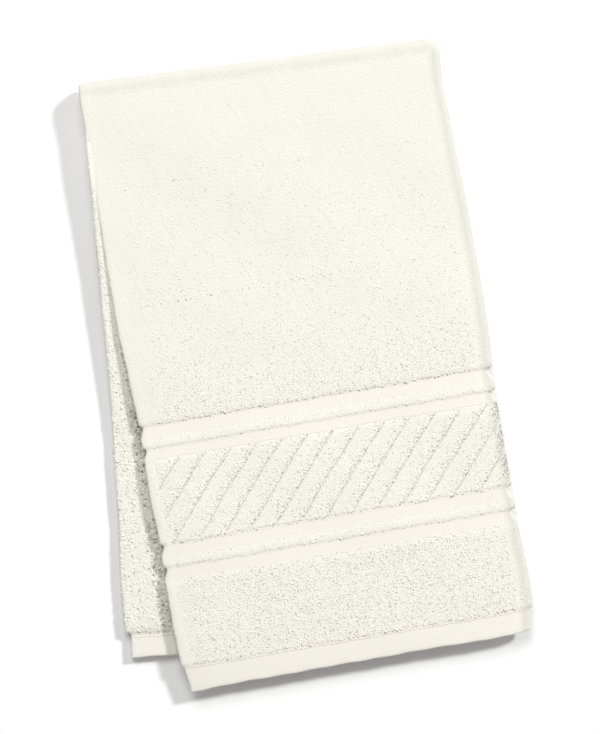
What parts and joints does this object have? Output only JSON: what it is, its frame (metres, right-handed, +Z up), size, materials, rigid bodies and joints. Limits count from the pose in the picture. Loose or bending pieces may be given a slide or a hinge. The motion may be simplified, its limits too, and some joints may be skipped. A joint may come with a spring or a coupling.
{
  "type": "hand towel",
  "caption": "Folded cream cotton terry hand towel with smooth hems and a woven border of diagonal ribs between grooves and narrow ribs.",
  "frame": {"origin": "middle of the footprint, on the surface that the folded towel lies on", "axes": "+Y along the upper half from its hem to the crosswise fold, +X towards the lengthwise fold, +Z up through the four layers"},
  "size_m": [0.235, 0.3554, 0.0174],
  "materials": {
    "cream_terry": "matt looped cotton pile with smooth woven hems and grooves"
  },
  "bodies": {
    "root": {"towel": "cream_terry"}
  },
  "joints": []
}
